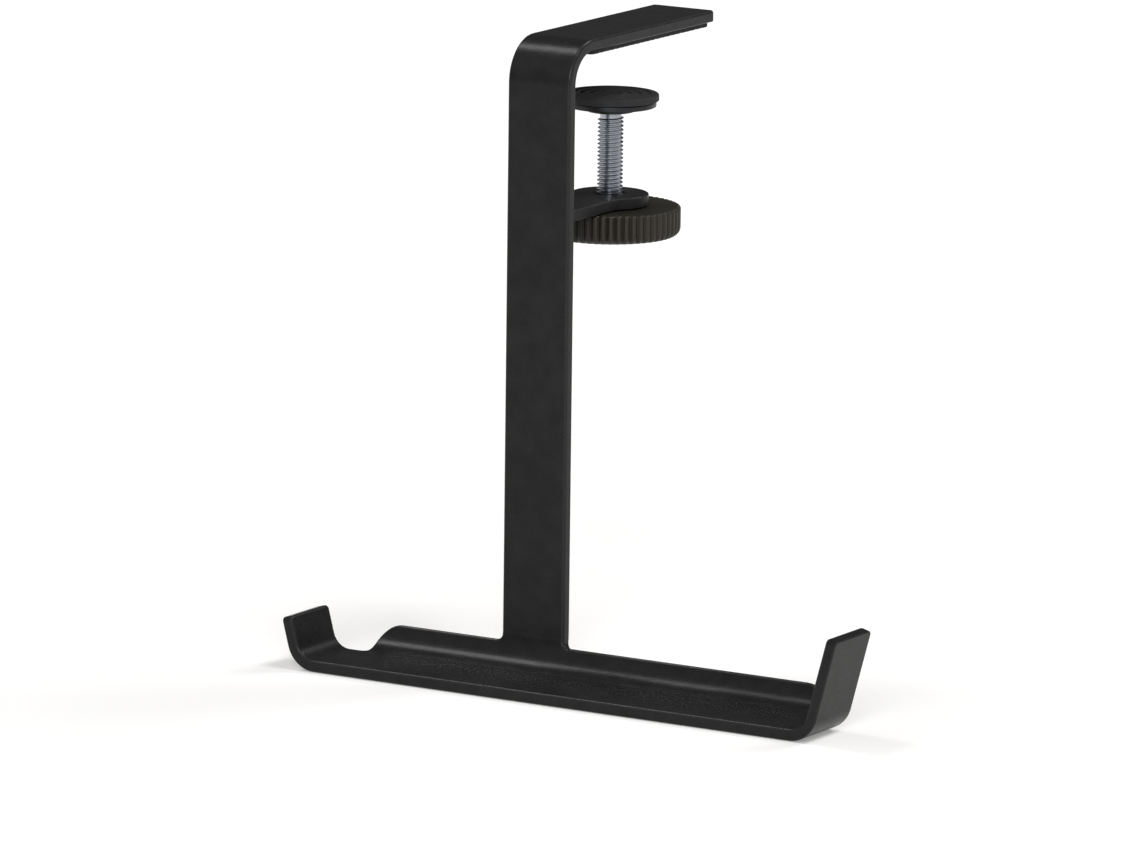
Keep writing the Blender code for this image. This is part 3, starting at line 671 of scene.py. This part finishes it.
# Weld bead: a row of flattened, leaning balls, with its shares of the bead's leg
BALL_RADIUS_SHARE = 0.86
BALL_PLACE_SHARE = 0.06
BALL_FLATNESS = 0.62
BALL_LEAN = math.radians(24.0)
BALL_SEGMENTS = 24
BALL_RINGS = 14
WAVER_SHARE = 0.06
WAVER_STEP = 2.4
END_TAPER_SHARE = 0.25
END_TAPER_POWER = 8
END_INSET_SHARE = 0.4
SKIN_VOXEL = 0.16 * MM
SKIN_SMOOTHING = 0.5

# Weld nut, in shares of its chamfer's height and of the thread's pitch
NUT_CHAMFER_RISE_SHARE = 1.45
NUT_CHAMFER_FACE_SHARE = 1.0 / 3.0
NUT_THREAD_PLAY_SHARE = 1.4


class HOOK_OT_lower_jaw(bpy.types.Operator):
    """Make the lower jaw with its round eye, its two weld beads and its weld nut"""
    bl_idname = "bag_hook.lower_jaw"
    bl_label = "Lower Jaw"

    def bracket(self, jaw, sheet, coat):
        """The folded strip with its eye and its bore."""
        low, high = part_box("jaw_bracket")
        outer = jaw.bend + jaw.thickness
        half = jaw.width / 2.0
        eye = jaw.eye / 2.0
        leg = jaw.leg - outer
        arm = -low.y - outer
        legs = [(leg, 0.0), (outer * QUARTER, -QUARTER), (arm + eye, 0.0)]
        centre = leg + legs[1][0] + arm
        side = half + jaw.neck
        neck = math.sqrt((eye + jaw.neck) ** 2 - side ** 2)
        lean = math.atan2(side, neck)
        mesh = drawn((half - sheet.corner, 0.0),
                     [(half - sheet.corner, sheet.corner, QUARTER), (half, centre - neck, 0.0),
                      (side, centre - neck, lean - QUARTER), (0.0, centre, 4.0 * QUARTER - 2.0 * lean),
                      (-side, centre - neck, lean - QUARTER), (-half, sheet.corner, 0.0),
                      (sheet.corner - half, sheet.corner, QUARTER), (half - sheet.corner, 0.0, 0.0)])
        mesh = thicken(mesh, jaw.thickness, sheet.edge_round, sheet.edge_round)
        fold(mesh, legs, (low.y, high.z - jaw.leg), QUARTER, -1.0)
        item = loose_object(mesh, "lower_jaw")
        bore = jaw.bore / 2.0
        under = high.z - jaw.thickness
        mouth = bore + sheet.edge_round
        drill = turned([(0.0, under - outer), (mouth, under - outer), (mouth, under),
                        (bore, under + sheet.edge_round), (bore, high.z - sheet.edge_round),
                        (mouth, high.z), (mouth, high.z + outer), (0.0, high.z + outer)], TURN_STEPS)
        carve(item, drill, 'DIFFERENCE')
        finish_piece(item, coat, "jaw_coat", "hanger", "jaw_bracket")

    def bead(self, jaw, node_name, name, coat):
        """A run of overlapping weld ripples in the corner, fused into one skin."""
        low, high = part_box(node_name)
        side = math.copysign(1.0, low.x)
        near = min(abs(low.x), abs(high.x))
        leg = high.y - low.y
        place = BALL_PLACE_SHARE * leg
        inset = END_INSET_SHARE * leg
        count = round((high.z - low.z) / jaw.ripple)
        mesh = bmesh.new()
        for i in range(count):
            share = (i + 0.5) / count
            taper = END_TAPER_SHARE * (abs(share - 0.5) * 2.0) ** END_TAPER_POWER
            swell = 1.0 + WAVER_SHARE * math.sin(WAVER_STEP * i) - taper
            ball = bmesh.ops.create_uvsphere(mesh, u_segments=BALL_SEGMENTS, v_segments=BALL_RINGS,
                                             radius=leg * BALL_RADIUS_SHARE)["verts"]
            bmesh.ops.scale(mesh, verts=ball, vec=(swell, swell, BALL_FLATNESS))
            bmesh.ops.rotate(mesh, verts=ball, cent=ORIGIN,
                             matrix=Matrix.Rotation(BALL_LEAN, 3, Vector((-1.0, side, 0.0))))
            height = low.z + inset + share * (high.z - low.z - 2.0 * inset)
            bmesh.ops.translate(mesh, verts=ball, vec=(side * (near + place), low.y + place, height))
        item = loose_object(mesh, name)
        skin = item.modifiers.new("One skin", 'REMESH')
        skin.mode = 'VOXEL'
        skin.voxel_size = SKIN_VOXEL
        apply_modifiers(item)
        mesh = bmesh.new()
        mesh.from_mesh(item.data)
        bmesh.ops.smooth_vert(mesh, verts=mesh.verts, factor=SKIN_SMOOTHING, use_axis_x=True,
                              use_axis_y=True, use_axis_z=True)
        for axis in range(3):
            for corner, way in ((low, -1.0), (high, 1.0)):
                trim(mesh, corner, [way if axis == i else 0.0 for i in range(3)])
        mesh.to_mesh(item.data)
        mesh.free()
        finish_piece(item, coat, "weld", "hanger", node_name)

    def nut(self, jaw, screw, zinc):
        """Hexagon weld nut: chamfered corners below, thread inside."""
        low, high = heights_of("jaw_nut")
        under, over = low - screw.pitch, high + screw.pitch
        chamfer = jaw.nut_chamfer
        face = NUT_CHAMFER_FACE_SHARE * chamfer
        item = chamfered_hexagon("weld_nut", jaw.nut_across, low, high, face, chamfer,
                                 NUT_CHAMFER_RISE_SHARE * chamfer)
        diameter = screw.diameter + NUT_THREAD_PLAY_SHARE * screw.pitch
        carve(item, thread(diameter, screw.pitch, under, over), 'DIFFERENCE')
        mouth = diameter / 2.0 + face
        sink = turned([(0.0, under), (mouth, under), (mouth, low),
                       (screw.diameter / 2.0, low + chamfer), (0.0, low + chamfer)], TURN_STEPS)
        carve(item, sink, 'DIFFERENCE')
        finish_piece(item, zinc, "nut_zinc", "hanger", "jaw_nut")

    def execute(self, context):
        scene = context.scene
        jaw, sheet, screw = scene.hook_jaw, scene.hook_sheet, scene.hook_screw
        coat = powder_coat("satin_black_coat_on_jaw", sheet.coat, JAW_ROUGHNESS)
        seam = powder_coat("coated_weld_bead", tinted(sheet.coat, WELD_TINT_SHARE), WELD_ROUGHNESS)
        self.bracket(jaw, sheet, coat)
        self.bead(jaw, "weld_seam_left", "weld_bead_left", seam)
        self.bead(jaw, "weld_seam_right", "weld_bead_right", seam)
        self.nut(jaw, screw, zinc_plate("zinc_plated_weld_nut", screw.zinc))
        return {'FINISHED'}


# Clamp screw, from its head up
HEAD_HEIGHT = 3.4 * MM
HEAD_FACE_INSET = 0.25 * MM
HEAD_CHAMFER_REACH = 0.5 * MM
HEAD_CHAMFER_RISE = 0.95 * MM
THREAD_SINK = 0.6 * MM
THREAD_END = 1.6 * MM
NECK_DEPTH_SHARE = 0.62
NECK_STEP = 0.1 * MM
SHOULDER_GAP = 0.3 * MM
SHOULDER_ROUND = 0.3 * MM
STUB_RADIUS = 2.75 * MM
BUTTON_SEAT = 1.5 * MM
BUTTON_RADIUS = 4.5 * MM
BUTTON_LOWER_ROUND = 0.12 * MM
BUTTON_UPPER_ROUND = 0.45 * MM
SWAGE_RADIUS = 1.2 * MM
SWAGE_FLOOR_RADIUS = 0.9 * MM
SWAGE_DEPTH = 0.35 * MM
SWAGE_ROUND = 0.2 * MM


class HOOK_OT_clamp_screw(bpy.types.Operator):
    """Make the threaded clamp screw with its hexagon head, stub and swaged button"""
    bl_idname = "bag_hook.clamp_screw"
    bl_label = "Clamp Screw"

    def execute(self, context):
        screw = context.scene.hook_screw
        low, high = heights_of("clamp_screw")
        head_top = low + HEAD_HEIGHT
        plate_low, _ = heights_of("pressure_plate")
        shoulder = plate_low - SHOULDER_GAP
        seat = plate_low + BUTTON_SEAT
        crest = screw.diameter / 2.0
        item = chamfered_hexagon("clamp_screw_threaded", screw.head_across, low, head_top,
                                 HEAD_FACE_INSET, HEAD_CHAMFER_REACH, HEAD_CHAMFER_RISE)
        end = shoulder - THREAD_END
        carve(item, thread(screw.diameter, screw.pitch, head_top - THREAD_SINK, end), 'UNION')
        neck = crest - NECK_DEPTH_SHARE * screw.pitch + NECK_STEP
        stub = turned([(0.0, end - THREAD_SINK), (neck, end - THREAD_SINK),
                       (neck, shoulder, SHOULDER_ROUND), (STUB_RADIUS, shoulder), (STUB_RADIUS, seat),
                       (BUTTON_RADIUS, seat, BUTTON_LOWER_ROUND),
                       (BUTTON_RADIUS, high, BUTTON_UPPER_ROUND), (SWAGE_RADIUS, high, SWAGE_ROUND),
                       (SWAGE_FLOOR_RADIUS, high - SWAGE_DEPTH), (0.0, high - SWAGE_DEPTH)], TURN_STEPS)
        carve(item, stub, 'UNION')
        zinc = zinc_plate("zinc_plated_clamp_screw", screw.zinc)
        finish_piece(item, zinc, "screw_zinc", "screw", "clamp_screw")
        return {'FINISHED'}


# Knob, from its lower face up
BOSS_HEIGHT = 1.2 * MM
BOSS_ROUND = 0.4 * MM
BOSS_ROOT_ROUND = 0.35 * MM
DISH_DEPTH = 0.5 * MM
DISH_FLOOR_INSET = 5.4 * MM
DISH_EDGE_INSET = 4.8 * MM
DISH_ROUND = 0.3 * MM
LOWER_RIM_ROUND = 2.6 * MM
UPPER_RIM_ROUND = 0.8 * MM
RECESS_ROUND = 0.6 * MM
RECESS_ROOT_ROUND = 0.5 * MM
KNOB_WEB = 1.3 * MM
POCKET_PLAY = 0.05 * MM
POCKET_OVERRUN = 1.0 * MM

# Grip ribs: where the grooves begin and how they deepen
GRIP_INSET = 2.7 * MM
GRIP_RUN_IN = 1.2 * MM
GRIP_SHARPNESS = 1.7
STEPS_PER_RIB = 12

# Plug, with the dimple of its moulding gate
PLUG_ROUND = 0.3 * MM
GATE_RADIUS = 1.3 * MM
GATE_FLOOR_RADIUS = 0.9 * MM
GATE_DEPTH = 0.3 * MM
GATE_OVERRUN = 0.5 * MM


class HOOK_OT_clamp_knob(bpy.types.Operator):
    """Make the ribbed knob and the plug that closes its pocket"""
    bl_idname = "bag_hook.clamp_knob"
    bl_label = "Clamp Knob"

    def cut_ribs(self, mesh, screw):
        """Sink the grooves between the grip ribs and mark the crests in the rim attribute, where the nylon
        paints a highlight.
        """
        layer = mesh.verts.layers.float.new("rim")
        inner = screw.knob / 2.0 - GRIP_INSET
        for vert in mesh.verts:
            reach = math.hypot(vert.co.x, vert.co.y)
            if reach > inner:
                angle = math.atan2(vert.co.y, vert.co.x)
                groove = (0.5 - 0.5 * math.cos(screw.ribs * angle)) ** GRIP_SHARPNESS
                fade = min(1.0, (reach - inner) / GRIP_RUN_IN)
                dip = screw.rib_depth * groove * fade
                vert.co.x *= (reach - dip) / reach
                vert.co.y *= (reach - dip) / reach
                vert[layer] = (1.0 - groove) * fade

    def plug(self, screw):
        """The hexagon plug, with a soft edge and a gate dimple."""
        low, high = heights_of("knob_cap")
        mesh = hexagon(screw.head_across - 2.0 * POCKET_PLAY, low, high)
        rims = [e for e in mesh.edges if max(v.co.z for v in e.verts) < (low + high) / 2.0]
        soften(mesh, rims, PLUG_ROUND)
        item = loose_object(mesh, "pocket_plug")
        dimple = turned([(0.0, low - GATE_OVERRUN), (GATE_RADIUS, low - GATE_OVERRUN),
                         (GATE_RADIUS, low), (GATE_FLOOR_RADIUS, low + GATE_DEPTH),
                         (0.0, low + GATE_DEPTH)], TURN_STEPS // 2)
        carve(item, dimple, 'DIFFERENCE')
        nylon = moulded_nylon("black_nylon_plug", tinted(screw.moulding, PLUG_TINT_SHARE))
        finish_piece(item, nylon, "knob_plug", "screw", "knob_cap")

    def execute(self, context):
        screw = context.scene.hook_screw
        low, high = heights_of("clamp_knob")
        under = low + BOSS_HEIGHT
        dish = under + DISH_DEPTH
        rim = screw.knob / 2.0
        boss = screw.boss / 2.0
        recess = screw.recess / 2.0
        hole = screw.diameter / 2.0 + POCKET_PLAY
        head_low, _ = heights_of("clamp_screw")
        pocket_top = head_low + HEAD_HEIGHT + POCKET_PLAY
        floor = pocket_top + KNOB_WEB
        mesh = turned([(hole, low), (boss, low, BOSS_ROUND), (boss, dish, BOSS_ROOT_ROUND),
                       (rim - DISH_FLOOR_INSET, dish, DISH_ROUND),
                       (rim - DISH_EDGE_INSET, under, DISH_ROUND), (rim, under, LOWER_RIM_ROUND),
                       (rim, high, UPPER_RIM_ROUND), (recess, high, RECESS_ROUND),
                       (recess, floor, RECESS_ROOT_ROUND), (hole, floor)],
                      screw.ribs * STEPS_PER_RIB, closed=True)
        self.cut_ribs(mesh, screw)
        item = loose_object(mesh, "ribbed_knob")
        pocket = hexagon(screw.head_across + 2.0 * POCKET_PLAY, low - POCKET_OVERRUN, pocket_top)
        carve(item, pocket, 'DIFFERENCE')
        nylon = moulded_nylon("black_moulded_nylon", screw.moulding)
        finish_piece(item, nylon, "knob_moulding", "screw", "clamp_knob")
        self.plug(screw)
        return {'FINISHED'}


# Swivel plate, from its lower face up
STUB_HOLE_RADIUS = 3.05 * MM
STUB_HOLE_ROUND = 0.15 * MM
HUB_HEIGHT = 1.6 * MM
HUB_ROUND = 0.45 * MM
PLATE_ROUND = 0.4 * MM
PLATE_WEB = 1.2 * MM
WELL_RADIUS = 4.8 * MM
WELL_ROUND = 0.2 * MM

# Turned line near the plate's rim, on its lower side
LINE_INSET = 1.5 * MM
LINE_HALF_WIDTH = 0.3 * MM
LINE_DEPTH = 0.25 * MM
LINE_ROUND = 0.15 * MM

# Rings and hollow of the rubber disc, measured inward from its rim
DISC_ROUND = 0.7 * MM
RING_COUNT = 3
RING_SPACING = 3.0 * MM
RING_TOP_HALF_WIDTH = 0.6 * MM
RING_FLOOR_HALF_WIDTH = 0.4 * MM
RING_TOP_ROUND = 0.15 * MM
RING_FLOOR_ROUND = 0.12 * MM
HOLLOW_TOP_INSET = 11.2 * MM
HOLLOW_FLOOR_INSET = 11.6 * MM
HOLLOW_ROUND = 0.2 * MM


class HOOK_OT_swivel_plate(bpy.types.Operator):
    """Make the swivel plate and its ringed rubber pad"""
    bl_idname = "bag_hook.swivel_plate"
    bl_label = "Swivel Plate"

    def pad(self, pads):
        """The rubber disc: a soft rim and three rings that grip the desk."""
        low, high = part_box("pressure_pad")
        rim = high.x
        top = high.z
        deep = top - pads.groove_depth
        corners = [(0.0, low.z), (rim, low.z, pads.edge_round), (rim, top, DISC_ROUND)]
        for ring in range(1, RING_COUNT + 1):
            edge = rim - ring * RING_SPACING
            corners += [(edge + RING_TOP_HALF_WIDTH, top, RING_TOP_ROUND),
                        (edge + RING_FLOOR_HALF_WIDTH, deep, RING_FLOOR_ROUND),
                        (edge - RING_FLOOR_HALF_WIDTH, deep, RING_FLOOR_ROUND),
                        (edge - RING_TOP_HALF_WIDTH, top, RING_TOP_ROUND)]
        corners += [(rim - HOLLOW_TOP_INSET, top, HOLLOW_ROUND),
                    (rim - HOLLOW_FLOOR_INSET, deep, HOLLOW_ROUND), (0.0, deep)]
        item = loose_object(turned(corners, TURN_STEPS), "ringed_pad")
        rubber = moulded_rubber("black_moulded_rubber", pads.rubber)
        finish_piece(item, rubber, "pad_rubber", "swivel", "pressure_pad")

    def execute(self, context):
        screw, pads = context.scene.hook_screw, context.scene.hook_pads
        low, high = heights_of("pressure_plate")
        rim = screw.plate / 2.0
        hub = screw.hub / 2.0
        line = rim - LINE_INSET
        step = low + HUB_HEIGHT
        floor = low + PLATE_WEB
        mesh = turned([(STUB_HOLE_RADIUS, low, STUB_HOLE_ROUND), (hub, low, HUB_ROUND),
                       (hub, step, PLATE_ROUND), (line - LINE_HALF_WIDTH, step),
                       (line, step + LINE_DEPTH, LINE_ROUND), (line + LINE_HALF_WIDTH, step),
                       (rim, step, PLATE_ROUND), (rim, high, PLATE_ROUND),
                       (WELL_RADIUS, high, WELL_ROUND), (WELL_RADIUS, floor, WELL_ROUND),
                       (STUB_HOLE_RADIUS, floor)], TURN_STEPS, closed=True)
        item = loose_object(mesh, "swivel_plate")
        oxide = black_oxide("black_oxide_plate", screw.oxide)
        finish_piece(item, oxide, "plate_oxide", "swivel", "pressure_plate")
        self.pad(pads)
        return {'FINISHED'}


# Share of the groove spacing that is half a groove's width
GROOVE_HALF_SHARE = 0.18


class HOOK_OT_desk_pads(bpy.types.Operator):
    """Make the grooved rubber pads under the top jaw and behind the upright"""
    bl_idname = "bag_hook.desk_pads"
    bl_label = "Desk Pads"

    def blank(self, pads, width, run, thickness):
        """A pad from zero along Y with cross grooves in its lower face."""
        half = width / 2.0
        mesh = outline([(half, 0.0, pads.corner), (half, run, pads.corner), (-half, run, pads.corner),
                        (-half, 0.0, pads.corner)])
        mesh = thicken(mesh, thickness, pads.edge_round, pads.edge_round)
        count = int((run - 2.0 * pads.corner) / pads.groove)
        first = (run - (count - 1) * pads.groove) / 2.0
        half_groove = pads.groove * GROOVE_HALF_SHARE
        for i in range(count):
            middle = first + i * pads.groove
            for offset in (-half_groove, 0.0, half_groove):
                divide(mesh, (0.0, middle + offset, 0.0), (0.0, 1.0, 0.0))
            for vert in mesh.verts:
                if abs(vert.co.y - middle) < WELD_DISTANCE and vert.co.z < thickness / 2.0:
                    vert.co.z += pads.groove_depth
        return mesh

    def execute(self, context):
        pads = context.scene.hook_pads
        low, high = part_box("top_jaw_pad")
        mesh = self.blank(pads, high.x - low.x, high.y - low.y, high.z - low.z)
        bmesh.ops.translate(mesh, verts=mesh.verts, vec=(0.0, low.y, low.z))
        item = loose_object(mesh, "grooved_jaw_pad")
        rubber = moulded_rubber("charcoal_rubber_sheet", pads.rubber)
        finish_piece(item, rubber, "sheet_rubber", "hanger", "top_jaw_pad")
        low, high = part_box("edge_pad")
        mesh = self.blank(pads, high.x - low.x, high.z - low.z, high.y - low.y)
        stand_up(mesh)
        bmesh.ops.translate(mesh, verts=mesh.verts, vec=(0.0, high.y, low.z))
        item = loose_object(mesh, "grooved_edge_pad")
        rubber = moulded_rubber("charcoal_edge_rubber", tinted(pads.rubber, EDGE_PAD_TINT_SHARE))
        finish_piece(item, rubber, "edge_rubber", "hanger", "edge_pad")
        return {'FINISHED'}


# Name of each lamp, where it shines from, its strength and its breadth in degrees
LAMPS = (
    ("front_key", (0.42, -0.8, 0.43), 1.6, 30.0),
    ("overhead", (0.45, 0.0, 0.89), 0.85, 16.0),
    ("left_fill", (-0.5, -0.6, 0.63), 0.35, 60.0),
    ("back_fill", (0.4, 0.62, 0.68), 0.9, 24.0),
    ("bend_highlight", (-0.51, 0.06, 0.86), 0.52, 13.0),
)
WORLD_GREY = (0.07, 0.07, 0.07, 1.0)
FLOOR_REACH = 30.0
FLOOR_CELLS = 8
FLOOR_GAP = 0.2 * MM
SENSOR_WIDTH = 36.0
CAMERA_AIM = Vector((-4.142, -15.0, -118.463)) * MM


class HOOK_OT_studio(bpy.types.Operator):
    """Lay the pale floor, set the soft lights and aim the camera"""
    bl_idname = "bag_hook.studio"
    bl_label = "Studio"

    def lamp(self, scene, name, towards, strength, breadth):
        """A broad, far light that shines onto the hook from a direction."""
        data = bpy.data.lights.new(name, 'SUN')
        data.energy = strength
        data.angle = math.radians(breadth)
        item = bpy.data.objects.new(name, data)
        scene.collection.objects.link(item)
        away = Vector(towards).normalized()
        item.location = CAMERA_AIM + away
        item.rotation_euler = away.to_track_quat('Z', 'Y').to_euler()

    def camera(self, scene, studio):
        """The camera at the photograph's angle."""
        data = bpy.data.cameras.new("photo_camera")
        data.lens = studio.lens
        data.sensor_width = SENSOR_WIDTH
        item = bpy.data.objects.new("photo_camera", data)
        scene.collection.objects.link(item)
        item.matrix_world = (Matrix.Translation(CAMERA_AIM)
                             @ Matrix.Rotation(studio.azimuth, 4, 'Z')
                             @ Matrix.Rotation(QUARTER - studio.elevation, 4, 'X')
                             @ Matrix.Rotation(studio.roll, 4, 'Z')
                             @ Matrix.Translation((0.0, 0.0, studio.distance)))
        scene.camera = item

    def execute(self, context):
        scene = context.scene
        studio = scene.hook_studio
        mesh = bmesh.new()
        bmesh.ops.create_grid(mesh, x_segments=FLOOR_CELLS, y_segments=FLOOR_CELLS, size=FLOOR_REACH)
        bmesh.ops.translate(mesh, verts=mesh.verts, vec=(0.0, 0.0, CAD_BOX[0].z - FLOOR_GAP))
        floor = loose_object(mesh, "paper_floor")
        floor.data.materials.append(studio_paper("pale_studio_paper", studio.floor))
        for settings in LAMPS:
            self.lamp(scene, *settings)
        world = bpy.data.worlds.new("dim_studio")
        world.use_nodes = True
        world.node_tree.nodes["Background"].inputs["Color"].default_value = WORLD_GREY
        scene.world = world
        self.camera(scene, studio)
        scene.view_settings.view_transform = 'Standard'
        return {'FINISHED'}


class HOOK_PT_panel(bpy.types.Panel):
    """Lists the hook's settings and the operators that make its pieces"""
    bl_idname = "HOOK_PT_panel"
    bl_label = "Bag Hook"
    bl_space_type = 'VIEW_3D'
    bl_region_type = 'UI'
    bl_category = "Bag Hook"

    def draw(self, context):
        layout = self.layout
        layout.use_property_split = True
        for name, _, title, operators in GROUPS:
            box = layout.box()
            box.label(text=title)
            settings = getattr(context.scene, name)
            for field in settings.__annotations__:
                box.prop(settings, field)
            for operator in operators:
                box.operator(operator.bl_idname)


# Name of each group of settings in the scene, its class, its title and its operators
GROUPS = (
    ("hook_sheet", HookSheetSettings, "Bent sheet", (HOOK_OT_bent_sheet,)),
    ("hook_jaw", HookJawSettings, "Lower jaw", (HOOK_OT_lower_jaw,)),
    ("hook_screw", HookScrewSettings, "Screw, knob and plate",
     (HOOK_OT_clamp_screw, HOOK_OT_clamp_knob, HOOK_OT_swivel_plate)),
    ("hook_pads", HookPadSettings, "Rubber pads", (HOOK_OT_desk_pads,)),
    ("hook_studio", HookStudioSettings, "Studio", (HOOK_OT_studio,)),
)
CLASSES = [settings for _, settings, _, _ in GROUPS]
CLASSES += [operator for *_, operators in GROUPS for operator in operators]
CLASSES += [HOOK_PT_panel]


def register():
    """Register the classes and their settings."""
    for item in CLASSES:
        bpy.utils.register_class(item)
    for name, settings, _, _ in GROUPS:
        setattr(bpy.types.Scene, name, PointerProperty(type=settings))


def unregister():
    """Take the settings and classes away again."""
    for name, *_ in GROUPS:
        delattr(bpy.types.Scene, name)
    for item in reversed(CLASSES):
        bpy.utils.unregister_class(item)


def main():
    """Register the add-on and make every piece."""
    register()
    bpy.ops.bag_hook.studio()
    bpy.ops.bag_hook.bent_sheet()
    bpy.ops.bag_hook.lower_jaw()
    bpy.ops.bag_hook.clamp_screw()
    bpy.ops.bag_hook.clamp_knob()
    bpy.ops.bag_hook.swivel_plate()
    bpy.ops.bag_hook.desk_pads()


if __name__ == "__main__":
    main()
